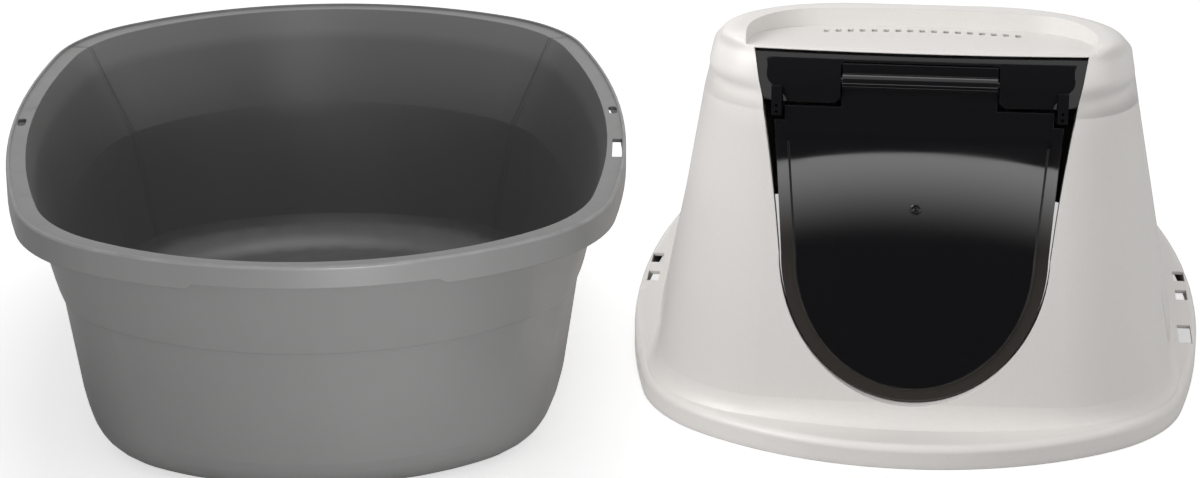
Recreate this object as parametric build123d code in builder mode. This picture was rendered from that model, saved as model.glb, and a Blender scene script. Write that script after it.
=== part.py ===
from build123d import *
import os

# Covered litter box: an open pan on the left and its lifted-off hood on the right.
# Millimetres, +Z up, the front of both faces -Y. Each moulding is drawn about its own
# centre with its underside at z = 0, then the finished solids are set in their places.

# Mouldings
wall = 2.4
tiny = 0.3

# Pan
pan_half_w = 204.5
pan_half_d = 277.0
pan_height = 174.0
pan_bow_w = 26.0
pan_bow_d = 76.0
pan_corner = 116.0
lip_height = 1.2
ledge_w = 9.8
skirt_drop = 17.0
skirt_wall = 2.2
notch_half = 74.0
notch_rise = 3.2
pan_slot_y = 13.0
pan_long_slot_y = -66.0
pan_long_slot_turn = 4.8
step_z = 107.0
step_in = 3.0
pan_waist_w = 180.0
pan_waist_d = 250.0
pan_base_w = 160.5
pan_base_d = 226.0
pan_base_bow = 50.0
pan_base_r = 31.0

# Hood foot flange
foot_half_w = 196.5
foot_half_d = 273.0
foot_height = 16.0
foot_round = 5.0
foot_slot_y = (13.0, 50.0)
foot_long_slot_y = -61.0
slot_depth = 6.0

# Door housing, the tall front of the hood
house_foot_w = 173.0
house_knee_w = 138.0
house_front = 239.0
house_knee_z = 226.0
crown_back = -149.0
flare_side = 5.0
flare_front = 9.0
house_bow = 30.0

# Rear body, a little wider than the door housing
rear_start = -92.0
rear_foot_w = 178.0
rear_shoulder_w = 152.0
rear_shoulder_z = 150.0
rear_back = 225.0
rear_run = 3.15

# Roof recess and its row of vents
recess_half_w = 106.0
recess_back = -164.0
recess_corner = 44.0
recess_floor_front = 266.5
recess_floor_back = 259.5
vent_count = 17
vent_pitch = 7.6
vent_w = 3.6
vent_l = 7.0
vent_y = -172.0

# Doorway
door_bottom = 29.0
door_bend = 130.0
door_half_bottom = 86.0
door_half_mid = 92.4
door_half_top = 104.0
frame_depth = 14.0
frame_wall = 2.2

# Flap and the visor that carries it
hinge_y = -232.4
hinge_z = 246.0
flap_t = 2.4
flap_gap = 1.3
border = 7.0
field_rise = 1.4
tongue_half = 48.4
tongue_top = 257.2
shoulder_z = 228.6
shoulder_half = 84.0
pin_r = 2.2
pin_reach = 8.0
barrel_r = 5.0
visor_t = 2.2
visor_inset = 0.8
visor_low = 231.4
visor_bridge = 258.2
visor_top = 262.0
tab_inner = 49.4
socket_in = 49.6
socket_l = 11.0
socket_r = 4.0
socket_play = 0.05
bracket_in = 86.0
bracket_web = 92.6
bracket_out = 101.4
bracket_back = -222.6
bracket_face = -235.8
bracket_low = 222.6
bracket_high = 242.0
pinhole_x = 89.3
pinhole_r = 0.9

# Filter tray and pad
roof_slope = (recess_floor_back - recess_floor_front) / 86.0
tray_y = -174.0
tray_w = 140.0
tray_l = 36.0
tray_h = 12.0
pad_t = 8.0

# Places
pan_at = (-203.2, -43.0)
pan_turn = 3.8
hood_at = (209.0, 46.8)
hood_turn = -5.9


def bowed(half_w, half_d, bow_w, bow_d, corner, shift=0.0):
    """Rectangle with four bowed sides and round corners."""
    x = half_w - bow_w
    y = half_d - bow_d
    with BuildSketch() as sketch:
        with BuildLine():
            ThreePointArc((x, shift - y), (half_w, shift), (x, shift + y))
            ThreePointArc((x, shift + y), (0, shift + half_d), (-x, shift + y))
            ThreePointArc((-x, shift + y), (-half_w, shift), (-x, shift - y))
            ThreePointArc((-x, shift - y), (0, shift - half_d), (x, shift - y))
        make_face()
        fillet(sketch.vertices(), radius=corner)
    return sketch.sketch


def pan_outline(half_w, half_d, bow=pan_bow_d):
    """Plan of the pan at a level, its corners tightening with the width."""
    inset = pan_half_w - half_w
    return bowed(half_w, half_d, pan_bow_w, bow, pan_corner - 0.6 * inset)


def foot_outline(inset):
    """Plan of the hood's flange, drawn in by an inset."""
    half_w = foot_half_w - inset
    half_d = foot_half_d - inset
    return bowed(half_w, half_d, pan_bow_w, pan_bow_d, pan_corner - inset)


def house_outline(half_w, front, spring, back, corner, bow):
    """Plan of the door housing: bowed front, straight sides and a round back from y = spring."""
    flat = 40.0
    with BuildSketch() as sketch:
        with BuildLine():
            ThreePointArc((-half_w, bow - front), (0, -front), (half_w, bow - front))
            Line((half_w, bow - front), (half_w, spring))
            EllipticalCenterArc((flat, spring), half_w - flat, back - spring, start_angle=0, arc_size=90)
            Line((flat, back), (-flat, back))
            EllipticalCenterArc((-flat, spring), half_w - flat, back - spring, start_angle=90, arc_size=90)
            Line((-half_w, spring), (-half_w, bow - front))
        make_face()
        fillet(sketch.vertices().group_by(Axis.Y)[0], radius=corner)
    return sketch.sketch


def stack(levels):
    """Solid lofted through (z, outline) pairs."""
    with BuildPart() as solid:
        for z, outline in levels:
            with BuildSketch(Plane.XY.offset(z)):
                add(outline)
        loft(ruled=len(levels) == 2)
    return solid.part


# Litter pan

def pan_lower(inset):
    """Lower part of the pan's body with its big bottom round."""
    reach = pan_waist_w - step_in - inset
    with BuildPart() as lower:
        with BuildSketch(Plane.XY.offset(inset)):
            add(pan_outline(pan_base_w - inset, pan_base_d - inset, pan_base_bow))
        with BuildSketch(Plane.XY.offset(step_z)):
            add(pan_outline(reach, pan_waist_d - step_in - inset))
        loft(ruled=True)
        bottom = lower.edges().group_by(Axis.Z)[0]
        fillet(bottom, radius=pan_base_r - inset)
    return lower.part


def pan_upper(inset, step, top):
    """Upper part of the pan's body, from the step to the ledge; the step is only outside."""
    low = pan_outline(pan_waist_w - step - inset, pan_waist_d - step - inset)
    reach = pan_outline(pan_half_w - ledge_w - inset, pan_half_d - ledge_w - inset)
    return stack([(step_z, low), (top, reach)])


pan_ledge_z = pan_height - lip_height
with BuildPart() as litter_pan:
    with BuildSketch(Plane.XY.offset(pan_height - skirt_drop)):
        add(pan_outline(pan_half_w, pan_half_d))
    extrude(amount=skirt_drop)
    rim_top = litter_pan.edges().group_by(Axis.Z)[-1]
    fillet(rim_top, radius=1.6)
    with BuildSketch(Plane.XY.offset(pan_height - skirt_drop)):
        add(pan_outline(pan_half_w - skirt_wall, pan_half_d - skirt_wall))
    extrude(amount=skirt_drop - lip_height - wall, mode=Mode.SUBTRACT)
    with BuildSketch(Plane.XY.offset(pan_ledge_z)):
        add(pan_outline(pan_half_w - skirt_wall, pan_half_d - skirt_wall))
    extrude(amount=lip_height, mode=Mode.SUBTRACT)
    add(pan_upper(0, 0, pan_ledge_z))
    add(pan_lower(0))
    add(pan_upper(wall, step_in, pan_ledge_z + tiny), mode=Mode.SUBTRACT)
    add(pan_lower(wall), mode=Mode.SUBTRACT)
    # raised stretch of the skirt at the front
    with BuildSketch(Plane.XZ.offset(pan_half_d - 40)) as notch:
        low = pan_height - skirt_drop
        with BuildLine():
            Polyline(
                (-notch_half - 4, low - 1),
                (-notch_half, low + notch_rise),
                (notch_half, low + notch_rise),
                (notch_half + 7, low - 1),
                close=True,
            )
        make_face()
    extrude(amount=60, mode=Mode.SUBTRACT)
    # clip slots on both sides and the long slot on the right, in line with the bowed rim
    with BuildSketch(Plane.XY.offset(pan_height + 1)):
        with Locations((pan_half_w - 6.0, pan_slot_y), (6.0 - pan_half_w, pan_slot_y)):
            SlotOverall(15, 5.6, rotation=90)
        with Locations((pan_half_w - 8.7, pan_long_slot_y)):
            Rectangle(6.4, 36, rotation=-pan_long_slot_turn)
    extrude(amount=-slot_depth, mode=Mode.SUBTRACT)


# Hood

def house_volume(inset):
    """Tapered door housing with its crown, a round horseshoe that falls away to the back."""
    foot_z = foot_height - inset - (3.0 if inset else 0.0)
    foot_w = house_foot_w - inset
    foot = house_outline(foot_w, house_front - inset, 0.0, 120.0 - inset, 90.0 - inset, house_bow)
    crown = []
    for rise, draw, front, spring, back, corner in (
        (0.0, 0.0, 0.0, -110.0, -30.0, 50.0),
        (17.0, 3.5, 1.0, -140.0, -62.0, 46.0),
        (30.0, 7.0, 3.5, -172.0, -100.0, 38.0),
        (39.0, 11.0, 8.0, -190.0, -126.0, 26.0),
        (44.0, 15.5, 13.0, -200.0, -142.0, 13.0),
        (46.0, 23.0, 20.0, -200.0, crown_back, 9.0),
    ):
        half_w = house_knee_w - draw - inset
        face = house_front - front - inset
        turn = max(corner - inset, 4.0)
        outline = house_outline(half_w, face, spring, back - inset, turn, 6.0)
        crown.append((house_knee_z - inset + rise, outline))
    with BuildPart() as solid:
        add(stack([(foot_z, foot), crown[0]]))
        add(stack(crown))
    return solid.part


def rear_volume(inset):
    """Rear body, a little wider than the housing, its roof falling to the back."""
    base = foot_height - inset - (3.0 if inset else 0.0)
    shoulder = rear_shoulder_z - inset
    front = rear_back - inset
    low = bowed(rear_foot_w - inset, 238.0 - inset, 14.0, 50.0, 92.0 - inset)
    mid = bowed(rear_shoulder_w - inset, rear_back - inset, 13.0, 40.0, 84.0 - inset)
    levels = []
    for rise, draw, back in (
        (3.0, 0.5, -4.0),
        (7.0, 1.3, -14.0),
        (12.0, 2.3, -30.0),
        (30.0, 6.6, 0.0),
        (50.0, 15.5, 0.0),
        (70.0, 33.0, 0.0),
        (88.0, 54.0, 0.0),
    ):
        if rise > 12.0:
            back = -30.0 - rear_run * (rise - 12.0)
        back += rear_back - inset
        half_d = (front + back) / 2
        outline = bowed(rear_shoulder_w - draw - inset, half_d, 12.0, 30.0, 82.0 - 0.4 * draw - inset,
                        back - half_d)
        levels.append((shoulder + rise, outline))
    with BuildPart() as solid:
        add(stack([(base, low), (shoulder, mid)]))
        add(stack([(shoulder, mid), *levels[:3]]))
        add(stack(levels[2:]))
        with BuildSketch(Plane.XZ.offset(-rear_start - inset)):
            Rectangle(600, 700)
        extrude(amount=300, mode=Mode.SUBTRACT)
    return solid.part


def recess_volume(grow):
    """Horseshoe recess in the crown, its floor falling to the back."""
    half_w = recess_half_w + grow
    back = recess_back + grow
    with BuildPart() as solid:
        with BuildSketch(Plane.XY.offset(240)):
            half_d = (back + 330) / 2
            add(bowed(half_w, half_d, 4.0, 10.0, recess_corner + grow, back - half_d))
        extrude(amount=50, taper=-8)
        with BuildSketch(Plane.YZ) as side:
            with BuildLine():
                Polyline(
                    (-290, recess_floor_front - grow - roof_slope * 52),
                    (-100, recess_floor_front - grow + roof_slope * 138),
                    (-100, 200),
                    (-290, 200),
                    close=True,
                )
            make_face()
        extrude(side.sketch, amount=200, both=True, mode=Mode.SUBTRACT)
    return solid.part


def doorway(grow, top, front, back):
    """Prism of the U-shaped door outline between two Y positions."""
    low = door_half_bottom + grow
    mid = door_half_mid + grow
    high = door_half_top + grow
    depth = door_bend - door_bottom + grow
    with BuildPart() as solid:
        with BuildSketch(Plane.XZ.offset(-back)):
            with BuildLine():
                EllipticalCenterArc((0, door_bend), low, depth, start_angle=180, arc_size=180)
                ThreePointArc((low, door_bend), (mid, 190), (high, top))
                Line((high, top), (-high, top))
                ThreePointArc((-high, top), (-mid, 190), (-low, door_bend))
            make_face()
        extrude(amount=back - front)
    return solid.part


outer_house = house_volume(0)
outer_rear = rear_volume(0)
inner_house = house_volume(wall)
inner_rear = rear_volume(wall)

flare_levels = []
for lift, share_of_flare in ((0.0, 1.0), (4.0, 0.44), (9.0, 0.12), (16.0, 0.0)):
    share = lift / (house_knee_z - foot_height)
    half_w = house_foot_w + (house_knee_w - house_foot_w) * share + flare_side * share_of_flare
    front = house_front + flare_front * share_of_flare
    corner = 90.0 - 40.0 * share + flare_side * share_of_flare
    back = 120.0 - 150.0 * share
    bow = house_bow - (house_bow - 6.0) * share + 16.0 * share_of_flare
    outline = house_outline(half_w, front, -110.0 * share, back, corner, bow)
    flare_levels.append((foot_height + lift, outline))

door_roof = recess_floor_front - wall

with BuildPart() as hollow:
    with BuildSketch(Plane.XY.offset(-5)):
        add(foot_outline(wall))
    extrude(amount=5 + foot_height - wall)
    fillet(hollow.edges().group_by(Axis.Z)[-1], radius=foot_round - wall)
    add(inner_house)
    add(inner_rear)
    add(recess_volume(wall), mode=Mode.SUBTRACT)
    add(doorway(frame_wall, door_roof, -270, -house_front + frame_depth), mode=Mode.SUBTRACT)

with BuildPart() as hood_shell:
    with BuildSketch():
        add(foot_outline(0))
    extrude(amount=foot_height)
    fillet(hood_shell.edges().group_by(Axis.Z)[-1], radius=foot_round)
    add(outer_house)
    add(outer_rear)
    add(stack(flare_levels))
    add(recess_volume(0), mode=Mode.SUBTRACT)
    add(hollow.part, mode=Mode.SUBTRACT)
    add(doorway(0, door_roof, -300, -house_front + frame_depth + 5), mode=Mode.SUBTRACT)
    # row of vents along a shallow arc
    for index in range(vent_count):
        x = (index - (vent_count - 1) / 2) * vent_pitch
        y = vent_y - 6.0 * (x / 58.0) ** 2
        with BuildSketch(Plane.XY.offset(recess_floor_front + 3)):
            with Locations((x, y)):
                Rectangle(vent_w, vent_l)
        extrude(amount=-14, mode=Mode.SUBTRACT)
    # clip slots on both sides of the flange and the long slot on its right
    with BuildSketch(Plane.XY.offset(foot_height + 1)):
        for side in (-1, 1):
            for y in foot_slot_y:
                with Locations((side * (foot_half_w - 9.0), y)):
                    Rectangle(8, 19)
        with Locations((foot_half_w - 10.6, foot_long_slot_y)):
            Rectangle(9, 32)
    extrude(amount=-slot_depth, mode=Mode.SUBTRACT)


# Visor, clipped into the top of the doorway: a skin that follows the housing's face

with BuildPart() as visor_band:
    with BuildSketch(Plane.XZ.offset(200)):
        with Locations((0, (visor_low + visor_top) / 2)):
            Rectangle(2 * door_half_top + 6, visor_top - visor_low)
    extrude(amount=60)
    with BuildSketch(Plane.XZ.offset(200)):
        with Locations((0, visor_bridge - 30)):
            RectangleRounded(2 * tab_inner, 60, 3)
    extrude(amount=60, mode=Mode.SUBTRACT)
    tab_corners = visor_band.edges().filter_by(Axis.Y).group_by(Axis.Z)[0]
    fillet(tab_corners, radius=6)

with BuildPart() as door_visor:
    add(house_volume(visor_inset))
    add(house_volume(visor_inset + visor_t), mode=Mode.SUBTRACT)
    add(visor_band.part, mode=Mode.INTERSECT)
    add(doorway(-0.5, visor_top, -300, -200), mode=Mode.INTERSECT)
    for side in (-1, 1):
        # bracket that bears on the back of the door frame, with its two pin holes
        for edge, front in ((bracket_web, bracket_face), (bracket_out, frame_depth - house_front)):
            with BuildSketch(Plane.XZ.offset(-bracket_back)):
                middle = (side * (bracket_in + edge) / 2, (bracket_low + bracket_high) / 2)
                with Locations(middle):
                    Rectangle(edge - bracket_in, bracket_high - bracket_low)
            extrude(amount=bracket_back - front)
        with BuildSketch(Plane.XZ.offset(220)):
            with Locations((side * pinhole_x, 225), (side * pinhole_x, 229)):
                Circle(pinhole_r)
        extrude(amount=30, mode=Mode.SUBTRACT)
        # socket for the flap's pin
        with BuildSketch(Plane.YZ.offset(side * socket_in)):
            with Locations((hinge_y, hinge_z)):
                Circle(socket_r)
        extrude(amount=side * socket_l)
        with BuildSketch(Plane.YZ.offset(side * (socket_in - 1))):
            with Locations((hinge_y, hinge_z)):
                Circle(pin_r + socket_play)
        extrude(amount=side * (pin_reach + 1.6), mode=Mode.SUBTRACT)


# Flap, one moulding with its barrel and pins

flap_back = hinge_y + flap_t / 2
with BuildPart() as door_flap:
    low = door_half_bottom - flap_gap
    mid = door_half_mid - flap_gap - 0.6
    bend_drop = door_bend - door_bottom - flap_gap
    with BuildSketch(Plane.XZ.offset(-flap_back)) as panel:
        with BuildLine():
            EllipticalCenterArc((0, door_bend), low, bend_drop, start_angle=180, arc_size=180)
            ThreePointArc((low, door_bend), ((low + mid) / 2 - 0.4, 172), (mid, 219))
            Line((mid, 219), (-mid, 219))
            ThreePointArc((-mid, 219), (0.4 - (low + mid) / 2, 172), (-low, door_bend))
        make_face()
        with Locations((0, 212)):
            Rectangle(2 * shoulder_half, 2 * (shoulder_z - 212))
        with Locations((0, 225)):
            Rectangle(2 * tongue_half, 2 * (tongue_top - 225))
    extrude(amount=flap_t)
    # raised field of the panel, its edge sloping down to the thin border
    for draw_in, level in ((border, hinge_y), (border + 2.5, hinge_y - flap_t / 2 - field_rise)):
        with BuildSketch(Plane.XZ.offset(-level)):
            with BuildLine():
                EllipticalCenterArc((0, door_bend), low - draw_in, bend_drop - draw_in,
                                    start_angle=180, arc_size=180)
                Polyline(
                    (low - draw_in, door_bend),
                    (mid - draw_in, 218 - draw_in),
                    (draw_in - mid, 218 - draw_in),
                    (draw_in - low, door_bend),
                )
            make_face()
    loft(ruled=True)
    # barrel along the top edge with a pin at each end
    with BuildSketch(Plane.YZ.offset(-tongue_half)):
        with Locations((hinge_y, hinge_z)):
            Circle(barrel_r)
    extrude(amount=2 * tongue_half)
    with BuildSketch(Plane.YZ.offset(-tongue_half - pin_reach)):
        with Locations((hinge_y, hinge_z)):
            Circle(pin_r)
    extrude(amount=2 * (tongue_half + pin_reach))


# Filter tray under the vents, and its carbon pad

tray_plane = Plane(
    origin=(0, tray_y, recess_floor_front - wall + roof_slope * (tray_y + 238)),
    x_dir=(1, 0, 0),
    z_dir=(0, -roof_slope, 1),
)
with BuildPart() as filter_tray:
    with BuildSketch(tray_plane):
        RectangleRounded(tray_w + 10, tray_l + 8, 4)
    extrude(amount=-1.6)
    with BuildSketch(tray_plane):
        RectangleRounded(tray_w, tray_l, 4)
    extrude(amount=-tray_h)
    with BuildSketch(tray_plane):
        RectangleRounded(tray_w - 3.2, tray_l - 3.2, 2.4)
    extrude(amount=1.6 - tray_h, mode=Mode.SUBTRACT)
    with BuildSketch(tray_plane):
        with GridLocations(15, 14, 8, 2):
            SlotOverall(11, 4, rotation=90)
    extrude(amount=-tray_h - 1, mode=Mode.SUBTRACT)

with BuildPart() as filter_pad:
    with BuildSketch(tray_plane.offset(1.6 - tray_h)):
        RectangleRounded(tray_w - 4.2, tray_l - 4.2, 2)
    extrude(amount=pad_t)


# Set in place and saved

pan_place = Location((pan_at[0], pan_at[1], 0), (0, 0, pan_turn))
hood_place = Location((hood_at[0], hood_at[1], 0), (0, 0, hood_turn))
nodes = {
    "litter_pan": litter_pan.part.moved(pan_place),
    "hood_shell": hood_shell.part.moved(hood_place),
    "door_visor": door_visor.part.moved(hood_place),
    "door_flap": door_flap.part.moved(hood_place),
    "filter_tray": filter_tray.part.moved(hood_place),
    "filter_pad": filter_pad.part.moved(hood_place),
}
os.makedirs("parts", exist_ok=True)
for name, solid in nodes.items():
    solid.label = name
    export_step(solid, f"parts/{name}.step")

whole = Compound(children=list(nodes.values())).bounding_box()
gap = nodes["litter_pan"].distance_to(nodes["hood_shell"])
axis = hood_place * Location((0, hinge_y, hinge_z))
print("box", whole.min, whole.max, "gap", round(gap, 2))
print("hinge", axis.position, "along", (hood_place * Pos(1, 0, 0)).position - hood_place.position)
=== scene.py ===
import math
import bmesh
import bpy
from mathutils import Matrix, Vector


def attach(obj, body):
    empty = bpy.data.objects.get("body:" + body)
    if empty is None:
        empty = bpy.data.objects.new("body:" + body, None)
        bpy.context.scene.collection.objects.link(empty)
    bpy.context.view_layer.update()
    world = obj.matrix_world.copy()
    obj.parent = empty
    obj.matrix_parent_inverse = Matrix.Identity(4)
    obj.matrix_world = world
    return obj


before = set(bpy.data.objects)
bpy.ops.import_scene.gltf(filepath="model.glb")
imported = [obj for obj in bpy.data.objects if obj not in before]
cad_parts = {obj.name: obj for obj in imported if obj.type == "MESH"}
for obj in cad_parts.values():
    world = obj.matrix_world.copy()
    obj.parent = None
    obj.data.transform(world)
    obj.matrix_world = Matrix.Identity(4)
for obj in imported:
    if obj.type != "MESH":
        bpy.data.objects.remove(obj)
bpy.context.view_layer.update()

# Camera: a long lens about two metres off, looking down at the pan and the hood together.
camera_place = (-0.0147, -2.243, 0.907)
camera_tilt_down = math.radians(20.39)

camera_data = bpy.data.cameras.new("camera")
camera_data.sensor_fit = "HORIZONTAL"
camera_data.sensor_width = 36.0
camera_data.lens = 103.8
camera_data.clip_end = 60.0
camera = bpy.data.objects.new("camera", camera_data)
camera.location = camera_place
camera.rotation_euler = (math.pi / 2 - camera_tilt_down, 0.0, 0.0)
bpy.context.scene.collection.objects.link(camera)
bpy.context.scene.camera = camera


# Litter pan: one thin polypropylene moulding in mid grey with a satin tool finish. The top of its lip
# is painted paler, partly worn and partly a painted highlight, and the bottom is scuffed where it
# slides on the floor. Two soft creases run down its rear corners inside.
pan_middle = (-0.2032, -0.043, 0.0)
pan_turn = math.radians(3.8)
pan_grey = (0.185, 0.183, 0.182)
pan_rough = 0.34
pan_grain = 1500.0
lip_wear_and_highlight = (0.42, 0.42, 0.42)
lip_low, lip_high = 0.1722, 0.1738
foot_pale = (0.30, 0.30, 0.30)
foot_high = 0.006
painted_inside_shade = (0.70, 0.70, 0.71, 1.0)
inside_shade_from, inside_shade_full = 0.160, 0.150
crease_y = 0.182
crease_half_width = 0.0026
crease_height = 0.0012
crease_end, crease_full = 0.018, 0.040
waist_z = 0.107
waist_fade = 0.02
waist_round_height = 0.00066
inner_wall_lean = 0.02


def fed(tree, target, feeds):
    """Feeds a node's inputs, by name or number, from sockets or with plain values."""
    for name, feed in feeds.items():
        if isinstance(feed, bpy.types.NodeSocket):
            tree.links.new(feed, target.inputs[name])
        else:
            target.inputs[name].default_value = feed
    return target


def added(tree, kind, feeds, **settings):
    """Adds a shader node with its settings and feeds it."""
    new_node = tree.nodes.new("ShaderNode" + kind)
    for name, value in settings.items():
        setattr(new_node, name, value)
    return fed(tree, new_node, feeds)


def worked(tree, operation, *values):
    """Works out one sum on sockets and numbers."""
    return added(tree, "Math", dict(enumerate(values)), operation=operation).outputs["Value"]


def ramped(tree, value, start, full, low=0.0, high=1.0, ends="LINEAR"):
    """Runs from low, where the value is at its start, to high, where it is full."""
    ramp = added(tree, "MapRange", {"Value": value, "From Min": start, "From Max": full,
                                    "To Min": low, "To Max": high}, interpolation_type=ends)
    return ramp.outputs["Result"]


def eased(tree, value, start, full):
    """Runs from 0 to 1 with soft ends."""
    return ramped(tree, value, start, full, ends="SMOOTHSTEP")


def blended(tree, share, first, second, blend="MIX"):
    """Turns one colour into another by a share."""
    mix = added(tree, "Mix", {}, data_type="RGBA", blend_type=blend)
    return fed(tree, mix, {0: share, 6: first, 7: second}).outputs[2]


def tilted_by(tree, share, first, second):
    """Turns one surface normal into another by a share."""
    mix = added(tree, "Mix", {}, data_type="VECTOR")
    return fed(tree, mix, {0: share, 4: first, 5: second}).outputs[1]


def cloudy(tree, where, scale, detail, distortion=0.0):
    """Gives a soft noise of some fineness."""
    noise = added(tree, "TexNoise", {"Vector": where, "Scale": scale, "Detail": detail,
                                     "Distortion": distortion})
    return noise.outputs["Fac"]


def along(tree, vector):
    """Splits a vector into its X, Y and Z."""
    return added(tree, "SeparateXYZ", {"Vector": vector}).outputs


def raised(tree, height, strength, distance, normal=None, invert=False):
    """Adds a bump, on top of another normal where one is given."""
    bump = added(tree, "Bump", {"Strength": strength, "Distance": distance, "Height": height})
    bump.invert = invert
    return fed(tree, bump, {"Normal": normal}) if normal else bump


def own_place(tree, middle, turn):
    """Gives object coordinates, centred on a moulding and turned with it."""
    place = added(tree, "TexCoord", {}).outputs["Object"]
    own = added(tree, "Mapping", {}, vector_type="TEXTURE")
    fed(tree, own, {"Vector": place, "Location": middle, "Rotation": (0.0, 0.0, turn)})
    return own.outputs["Vector"]


def new_finish(name):
    """Makes a material and gives it with its node tree and its main shader."""
    finish = bpy.data.materials.new(name)
    finish.use_nodes = True
    return finish, finish.node_tree, finish.node_tree.nodes["Principled BSDF"]


def dressed(piece, finish):
    """Gives a piece one material and no other."""
    piece.data.materials.clear()
    piece.data.materials.append(finish)


def polypropylene(name, colour, rough, grain, drift, middle, turn):
    """Satin moulded plastic: slow shade drift, fine tool grain and hair scratches."""
    finish, tree, shader = new_finish(name)
    own = own_place(tree, middle, turn)

    cloud = cloudy(tree, own, 6.0, 4.0)
    dark = [c * (1.0 - drift) for c in colour]
    light = [min(1.0, c * (1.0 + drift)) for c in colour]
    shade = blended(tree, ramped(tree, cloud, 0.3, 0.7), (*dark, 1.0), (*light, 1.0))
    pores = cloudy(tree, own, grain, 3.0)
    fleck = ramped(tree, pores, 0.3, 0.7, 0.965, 1.035)
    tint = added(tree, "VectorMath", {0: shade, "Scale": fleck}, operation="SCALE")

    drawn_out = added(tree, "Mapping", {"Vector": own, "Scale": (26.0, 30.0, 700.0),
                                        "Rotation": (0.5, 0.3, 0.4)})
    hairs = cloudy(tree, drawn_out.outputs["Vector"], 1.0, 5.0)
    scratch = ramped(tree, hairs, 0.62, 0.72, 0.0, 0.09)
    polish = ramped(tree, cloud, 0.25, 0.75, rough - 0.05, rough + 0.05)

    soft_edge = added(tree, "Bevel", {"Radius": 0.0009}, samples=4)
    grain_bump = raised(tree, pores, strength=0.35, distance=0.0001,
                        normal=soft_edge.outputs["Normal"])
    fed(tree, shader, {"Base Color": tint.outputs["Vector"],
                       "Roughness": worked(tree, "ADD", polish, scratch),
                       "Normal": grain_bump.outputs["Normal"]})
    return finish, own, tint.outputs["Vector"], grain_bump


def wear_and_highlight_band(tree, own, colour_in, low, high, colour, share):
    """Turns a height band paler with a patchy noise, as wear and, on the pan's lip, as a painted
    highlight; gives back the new colour.
    """
    band = eased(tree, along(tree, own)["Z"], low, high)
    patches = cloudy(tree, own, 55.0, 5.0)
    amount = ramped(tree, patches, 0.3, 0.75, 0.25 * share, share)
    return blended(tree, worked(tree, "MULTIPLY", band, amount), colour_in, (*colour, 1.0))


pan = bpy.data.objects["litter_pan"]
pan_finish, pan_own, pan_tone, pan_grain_bump = polypropylene(
    "pan_plastic_finish", pan_grey, rough=pan_rough, grain=pan_grain, drift=0.05,
    middle=pan_middle, turn=pan_turn)
pan_tree = pan_finish.node_tree
# painted highlight along the top of the lip, mixed with patchy worn paleness
pan_tone = wear_and_highlight_band(pan_tree, pan_own, pan_tone, lip_low, lip_high, lip_wear_and_highlight, share=0.55)
pan_tone = wear_and_highlight_band(pan_tree, pan_own, pan_tone, foot_high, 0.0, foot_pale, share=0.6)
pan_at = along(pan_tree, pan_own)

# below the ledge the inside is painted darker than the outside: painted shade inside the pan
true_normal = added(pan_tree, "NewGeometry", {}).outputs["True Normal"]
inside = worked(pan_tree, "GREATER_THAN", along(pan_tree, true_normal)["Z"], inner_wall_lean)
inside_shade_share = worked(pan_tree, "MULTIPLY", inside, eased(pan_tree, pan_at["Z"], inside_shade_from, inside_shade_full))
pan_tone = blended(pan_tree, inside_shade_share, pan_tone, painted_inside_shade, "MULTIPLY")

# the creases are a narrow ridge down the rear corners, and run out above the bottom
from_crease = worked(pan_tree, "ABSOLUTE", worked(pan_tree, "SUBTRACT", pan_at["Y"], crease_y))
crease = worked(pan_tree, "MULTIPLY", eased(pan_tree, from_crease, crease_half_width, 0.0),
                eased(pan_tree, pan_at["Z"], crease_end, crease_full))
crease_bump = raised(pan_tree, crease, strength=0.8, distance=crease_height,
                     normal=pan_grain_bump.outputs["Normal"])

# the inner wall turns at the waist in one soft round, so its bend is eased over some 40 mm
from_waist = worked(pan_tree, "ABSOLUTE", worked(pan_tree, "SUBTRACT", pan_at["Z"], waist_z))
waist_decay = worked(pan_tree, "EXPONENT", worked(pan_tree, "DIVIDE", from_waist, -waist_fade))
waist_bump = raised(pan_tree, worked(pan_tree, "MULTIPLY", waist_decay, inside), strength=1.0,
                    distance=waist_round_height, normal=crease_bump.outputs["Normal"], invert=True)
fed(pan_tree, pan_tree.nodes["Principled BSDF"],
    {"Base Color": pan_tone, "Normal": waist_bump.outputs["Normal"]})
dressed(pan, pan_finish)


# Hood: one polypropylene moulding in a warm pale grey, with a tall door housing, a round crown
# over the vented roof and a wide foot flange. The tool grain is finer than the pan's. The crown
# is handled most and is a little paler, and the flange is scuffed where it stands on the floor.
hood_middle = (0.209, 0.0468, 0.0)
hood_turn = math.radians(-5.9)
hood_place = Matrix.Translation(hood_middle) @ Matrix.Rotation(hood_turn, 4, "Z")
hood_grey = (0.70, 0.678, 0.655)
hood_rough = 0.42
hood_grain = 1700.0
crown_pale = (0.73, 0.71, 0.69)
crown_low, crown_high = 0.262, 0.271
flange_scuffed = (0.46, 0.445, 0.43)
flange_scuff_high = 0.004

# the shoulder's slope at each height, from the wall's top up to the crown's round
shoulder_slopes = ((0.222, 0.075), (0.230, 0.150), (0.243, 0.200), (0.250, 0.270), (0.258, 0.480))
shoulder_low, slope_low = 0.212, 0.030
shoulder_high, slope_high = 0.266, 1.0
shoulder_edges = (("Z", 0.212, 0.218), ("Z", 0.264, 0.257), ("Y", -0.100, -0.135))
housing_core = (0.0, -0.150, 0.0)
outer_wall_reach = 0.030


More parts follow.
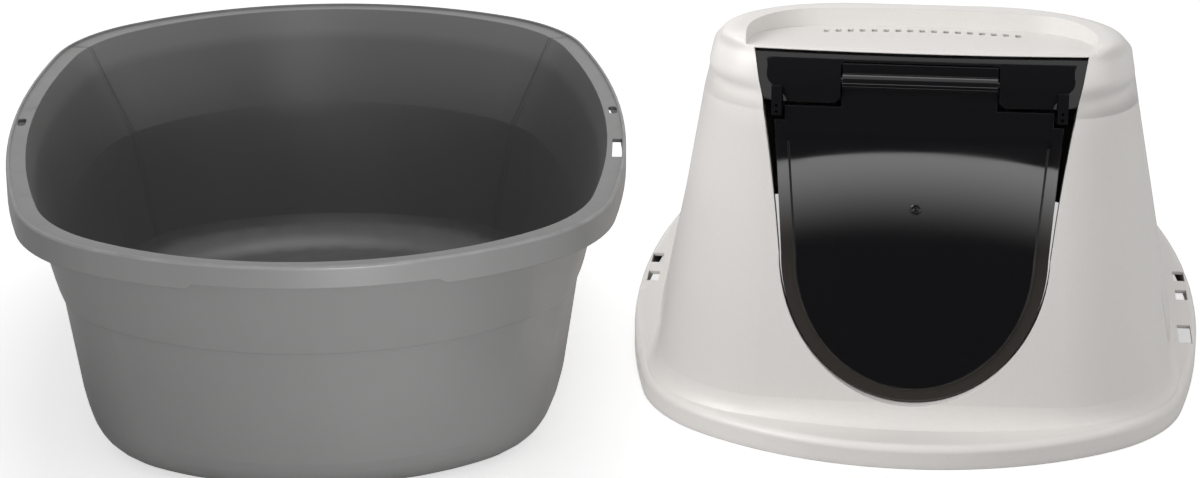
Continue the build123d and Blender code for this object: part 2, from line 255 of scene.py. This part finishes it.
def even_shoulder(tree, own, bump):
    """Shades the door housing's shoulder as one even round, from the wall up to the crown."""
    at = along(tree, own)
    normal = added(tree, "NewGeometry", {}).outputs["Normal"]
    level = added(tree, "VectorMath", {0: normal, 1: (1.0, 1.0, 0.0)}, operation="MULTIPLY")
    outward = added(tree, "VectorMath", {0: level.outputs["Vector"]}, operation="NORMALIZE")
    lean = added(tree, "FloatCurve", {"Value": ramped(tree, at["Z"], shoulder_low, shoulder_high)})
    points = lean.mapping.curves[0].points
    points[0].location = (0.0, slope_low)
    points[1].location = (1.0, slope_high)
    for height, slope in shoulder_slopes:
        points.new((height - shoulder_low) / (shoulder_high - shoulder_low), slope)
    lean.mapping.update()
    up = added(tree, "CombineXYZ", {"Z": lean.outputs["Value"]})
    leaning = added(tree, "VectorMath", {0: outward.outputs["Vector"], 1: up.outputs["Vector"]},
                    operation="ADD")
    even = added(tree, "VectorMath", {0: leaning.outputs["Vector"]}, operation="NORMALIZE")

    # only the outer wall of the housing, between the wall's top and the crown's round
    reach = added(tree, "VectorMath", {0: own, 1: housing_core}, operation="SUBTRACT")
    facing = added(tree, "VectorMath", {0: reach.outputs["Vector"], 1: outward.outputs["Vector"]},
                   operation="DOT_PRODUCT")
    share = worked(tree, "GREATER_THAN", facing.outputs["Value"], outer_wall_reach)
    for axis, start, full in shoulder_edges:
        share = worked(tree, "MULTIPLY", share, eased(tree, at[axis], start, full))
    before = bump.inputs["Normal"].links[0].from_socket
    fed(tree, bump, {"Normal": tilted_by(tree, share, before, even.outputs["Vector"])})


hood = bpy.data.objects["hood_shell"]
hood_finish, hood_own, hood_tone, hood_grain_bump = polypropylene(
    "hood_plastic_finish", hood_grey, rough=hood_rough, grain=hood_grain, drift=0.022,
    middle=hood_middle, turn=hood_turn)
hood_tree = hood_finish.node_tree
hood_tone = wear_and_highlight_band(hood_tree, hood_own, hood_tone, crown_low, crown_high, crown_pale, share=0.3)
hood_tone = wear_and_highlight_band(hood_tree, hood_own, hood_tone, flange_scuff_high, 0.0, flange_scuffed, share=0.5)
fed(hood_tree, hood_tree.nodes["Principled BSDF"], {"Base Color": hood_tone})
even_shoulder(hood_tree, hood_own, hood_grain_bump)
dressed(hood, hood_finish)


# Visor and flap: smoked styrene, polished and almost black. The thin edge of the flap is painted
# brownish, a painted glow of light coming through it. The visor is clipped into the top of the
# doorway and the flap hangs in it on two pins; both carry fine wiping marks and dust.
smoke = (0.0085, 0.0080, 0.0090, 1.0)
painted_edge_light = (0.040, 0.036, 0.032, 1.0)
dust_grey = (0.05, 0.047, 0.044, 1.0)
field_front_y, border_y = -0.2348, -0.2336
brown_from, brown_full = 0.21, 0.10
flap_outward = (-0.1028, -0.9947, 0.0)
field_top_low, field_top_high = 0.2055, 0.2150
flap_face_from, flap_face_full = -0.2325, -0.2335


def smoked(name):
    """Polished smoked plastic with wiping marks and dust."""
    finish, tree, shader = new_finish(name)
    own = own_place(tree, hood_middle, hood_turn)
    wiped = added(tree, "Mapping", {"Vector": own, "Rotation": (0.0, 0.5, 0.0),
                                    "Scale": (9.0, 60.0, 75.0)})
    marks = cloudy(tree, wiped.outputs["Vector"], 1.0, 6.0)
    haze = ramped(tree, marks, 0.35, 0.8, 0.03, 0.075)
    specks = ramped(tree, cloudy(tree, own, 900.0, 2.0), 0.70, 0.78, 0.0, 0.35)
    dusty = blended(tree, specks, smoke, dust_grey)
    soft_edge = added(tree, "Bevel", {"Radius": 0.0006}, samples=4)
    ripple = raised(tree, cloudy(tree, own, 14.0, 1.0), strength=0.12, distance=0.0004,
                    normal=soft_edge.outputs["Normal"])
    fed(tree, shader, {"Base Color": dusty, "Roughness": haze, "IOR": 1.52,
                       "Normal": ripple.outputs["Normal"]})
    return finish, own, dusty, ripple


visor = bpy.data.objects["door_visor"]
visor_finish, visor_own, _, visor_ripple = smoked("door_visor_smoked")
even_shoulder(visor_finish.node_tree, visor_own, visor_ripple)
dressed(visor, visor_finish)

flap = bpy.data.objects["door_flap"]
flap_finish, flap_own, flap_tone, flap_ripple = smoked("door_flap_smoked")
flap_tree = flap_finish.node_tree
flap_at = along(flap_tree, flap_own)

# the flap's border, behind its raised field, is painted brownish towards the bottom: painted light
# through its thin edge
on_border = ramped(flap_tree, flap_at["Y"], field_front_y, border_y)
painted_edge_share = worked(flap_tree, "MULTIPLY", on_border,
                     eased(flap_tree, flap_at["Z"], brown_from, brown_full))
flap_tone = blended(flap_tree, painted_edge_share, flap_tone, painted_edge_light)
fed(flap_tree, flap_tree.nodes["Principled BSDF"], {"Base Color": flap_tone})

# the top of the field runs out flat into the panel
panel_normal = added(flap_tree, "VectorTransform", {"Vector": flap_outward}, vector_type="NORMAL",
                     convert_from="OBJECT", convert_to="WORLD").outputs["Vector"]
above_low = worked(flap_tree, "GREATER_THAN", flap_at["Z"], field_top_low)
below_high = worked(flap_tree, "LESS_THAN", flap_at["Z"], field_top_high)
on_face = ramped(flap_tree, flap_at["Y"], flap_face_from, flap_face_full)
in_band = worked(flap_tree, "MULTIPLY", above_low, below_high)
flat_share = worked(flap_tree, "MULTIPLY", in_band, on_face)
edge_normal = flap_ripple.inputs["Normal"].links[0].from_socket
fed(flap_tree, flap_ripple, {"Normal": tilted_by(flap_tree, flat_share, edge_normal, panel_normal)})
dressed(flap, flap_finish)


# Gate mark: the round scar in the middle of the flap where the plastic entered the mould, a low
# ring with a small pip in it, in the flap's own smoked plastic.
gate_middle = (0.0, -0.23502, 0.1624)
gate_profile = (
    (0.0000, 0.00055), (0.0005, 0.00050), (0.0009, 0.00012), (0.0021, 0.00010),
    (0.0027, 0.00045), (0.0032, 0.00045), (0.0037, 0.00010), (0.0039, -0.00030),
)
upright = Matrix.Rotation(math.radians(90.0), 4, "X")


def object_from(form, name):
    """Makes a finished mesh form an object of the scene."""
    mesh = bpy.data.meshes.new(name)
    form.to_mesh(mesh)
    form.free()
    piece = bpy.data.objects.new(name, mesh)
    bpy.context.scene.collection.objects.link(piece)
    return piece


gate_form = bmesh.new()
gate_line = [gate_form.verts.new((reach, 0.0, rise)) for reach, rise in gate_profile]
gate_edges = [gate_form.edges.new(pair) for pair in zip(gate_line, gate_line[1:])]
bmesh.ops.spin(gate_form, geom=gate_line + gate_edges, cent=(0, 0, 0), axis=(0, 0, 1),
               angle=math.tau, steps=48, use_merge=True, use_duplicate=False)
bmesh.ops.remove_doubles(gate_form, verts=gate_form.verts, dist=1e-6)
bmesh.ops.transform(gate_form, matrix=hood_place @ Matrix.Translation(gate_middle) @ upright,
                    verts=gate_form.verts)
bmesh.ops.recalc_face_normals(gate_form, faces=gate_form.faces)
for face in gate_form.faces:
    face.smooth = True
gate_mark = object_from(gate_form, "flap_gate_mark")
dressed(gate_mark, flap_finish)
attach(gate_mark, "flap")


# Filter tray: a slotted polypropylene moulding in mid grey that hangs under the vents in the
# roof and holds the pad there. It has the pan's plastic with a coarser grain and less polish.
tray_grey = (0.20, 0.195, 0.19)
tray_rough = 0.45
tray_grain = 1300.0

tray = bpy.data.objects["filter_tray"]
tray_finish = polypropylene("tray_plastic_finish", tray_grey, rough=tray_rough, grain=tray_grain,
                            drift=0.05, middle=hood_middle, turn=hood_turn)[0]
dressed(tray, tray_finish)


# Filter pad: a needled mat of carbon fibres, dark, matt and fibrous. It is cut to size, lies loose
# in the tray and shows only through the vents.
carbon_dark = (0.008, 0.008, 0.009, 1.0)
carbon_pale = (0.055, 0.055, 0.058, 1.0)

pad = bpy.data.objects["filter_pad"]
pad_finish, pad_tree, pad_shader = new_finish("filter_pad_felt")
pad_place = added(pad_tree, "TexCoord", {}).outputs["Object"]
fibres = cloudy(pad_tree, pad_place, 420.0, 8.0, distortion=1.6)
carbon = blended(pad_tree, ramped(pad_tree, fibres, 0.3, 0.75), carbon_dark, carbon_pale)
fuzz = raised(pad_tree, fibres, strength=0.9, distance=0.0008)
fed(pad_tree, pad_shader, {"Base Color": carbon, "Roughness": 0.95, "Normal": fuzz.outputs["Normal"]})
dressed(pad, pad_finish)


# Floor: a plain white studio floor that keeps the object's soft shadow, under a white world.
# The paper is lifted to white for the camera alone, and the world lights more softly than it looks.
floor_half = 12.0
paper_white = (0.93, 0.93, 0.93, 1.0)
plain_white = (1.0, 1.0, 1.0, 1.0)
camera_lift = 0.60
world_glow = 0.38

floor_form = bmesh.new()
bmesh.ops.create_grid(floor_form, x_segments=1, y_segments=1, size=floor_half)
floor = object_from(floor_form, "floor")
floor_finish, floor_tree, floor_shader = new_finish("floor_paper")
floor_rays = added(floor_tree, "LightPath", {}).outputs
fed(floor_tree, floor_shader, {
    "Base Color": paper_white, "Roughness": 0.9, "Specular IOR Level": 0.1,
    "Emission Color": plain_white,
    "Emission Strength": worked(floor_tree, "MULTIPLY", floor_rays["Is Camera Ray"], camera_lift)})
dressed(floor, floor_finish)

world = bpy.data.worlds.new("studio")
bpy.context.scene.world = world
world.use_nodes = True
world_tree = world.node_tree
world_rays = added(world_tree, "LightPath", {}).outputs
seen = worked(world_tree, "MAXIMUM", world_rays["Is Camera Ray"], world_rays["Is Glossy Ray"])
seen = worked(world_tree, "MAXIMUM", seen, world_rays["Is Transmission Ray"])
fed(world_tree, world_tree.nodes["Background"], {
    "Color": plain_white, "Strength": ramped(world_tree, seen, 0.0, 1.0, world_glow, 1.0)})


# Lamps: one soft top light for everything, and softboxes for each moulding alone, because the
# photograph shows each lit in its own way: the pan low from the front, and the hood from the left
# with a weaker fill from the right.
pan_aim = (-0.2, -0.1, 0.10)
hood_aim = (0.21, 0.0, 0.1)


def softbox(name, place, aim, side, power):
    """Square area lamp turned towards a point, unseen by the camera."""
    data = bpy.data.lights.new(name, "AREA")
    data.shape = "SQUARE"
    data.size = side
    data.energy = power
    lamp = bpy.data.objects.new(name, data)
    lamp.location = place
    lamp.rotation_euler = (Vector(aim) - Vector(place)).to_track_quat("-Z", "Y").to_euler()
    lamp.visible_camera = False
    bpy.context.scene.collection.objects.link(lamp)
    return lamp


def only_on(lamp, pieces):
    """Keeps a lamp's light and its shadows to some pieces."""
    group = bpy.data.collections.new(lamp.name + "_pieces")
    for piece in pieces:
        group.objects.link(piece)
    lamp.light_linking.receiver_collection = group
    lamp.light_linking.blocker_collection = group


softbox("top_light", place=(0.0, 0.2, 2.3), aim=(0.0, 0.0, 0.0), side=1.3, power=11.0)
pan_light = softbox("pan_light", place=(0.1, -1.35, 0.14), aim=pan_aim, side=0.4, power=10.5)
only_on(pan_light, [pan])
hood_pieces = [hood, tray, pad, gate_mark, visor, flap]
hood_light = softbox("hood_light", place=(-1.05, -0.75, 0.95), aim=hood_aim, side=0.8, power=19.0)
only_on(hood_light, hood_pieces)
hood_fill = softbox("hood_fill", place=(1.30, -1.10, 0.75), aim=hood_aim, side=0.8, power=7.0)
hood_fill.visible_glossy = False
only_on(hood_fill, hood_pieces)


# Reflection card: a black flag that stands in front of the door and runs back along the floor to
# it, with an arched lit strip low down. It is seen only in reflections, so that the polished flap
# shows one arc of light and is dark above and below it.
card_wide = 0.32
card_tall = 0.50
card_front_y, card_back_y = -0.535, -0.270
card_foot_z = 0.001
arch_bend = 1.06
arch_top_dark, arch_top_lit = 0.0985, 0.0970
arch_low_dark, arch_low_lit = 0.030, 0.105
arch_power = 4.0

card_form = bmesh.new()
card_side = bmesh.ops.create_grid(card_form, x_segments=1, y_segments=1, size=0.5)
bmesh.ops.transform(card_form, verts=card_side["verts"], matrix=(
    Matrix.Translation((0.0, card_front_y, card_tall / 2)) @ upright
    @ Matrix.Diagonal((card_wide, card_tall, 1.0, 1.0))))
card_foot = bmesh.ops.create_grid(card_form, x_segments=1, y_segments=1, size=0.5)
bmesh.ops.transform(card_form, verts=card_foot["verts"], matrix=(
    Matrix.Translation((0.0, (card_front_y + card_back_y) / 2, card_foot_z))
    @ Matrix.Diagonal((card_wide, card_back_y - card_front_y, 1.0, 1.0))))
bmesh.ops.transform(card_form, verts=card_form.verts, matrix=hood_place)
card = object_from(card_form, "reflection_card")
card.visible_camera = False
card.visible_diffuse = False
card.visible_shadow = False
card.visible_transmission = False

card_finish, card_tree, card_shader = new_finish("card_light")
card_tree.nodes.remove(card_shader)
card_at = along(card_tree, own_place(card_tree, hood_middle, hood_turn))
off_middle = worked(card_tree, "POWER", worked(card_tree, "ABSOLUTE", card_at["X"]), 2.0)
arch = worked(card_tree, "MULTIPLY_ADD", off_middle, arch_bend, card_at["Z"])
strip = worked(card_tree, "MULTIPLY", eased(card_tree, arch, arch_top_dark, arch_top_lit),
               eased(card_tree, arch, arch_low_dark, arch_low_lit))
glow = added(card_tree, "Emission", {"Strength": worked(card_tree, "MULTIPLY", strip, arch_power)})
fed(card_tree, card_tree.nodes["Material Output"], {"Surface": glow.outputs["Emission"]})
dressed(card, card_finish)

bpy.context.scene.view_settings.view_transform = "Standard"
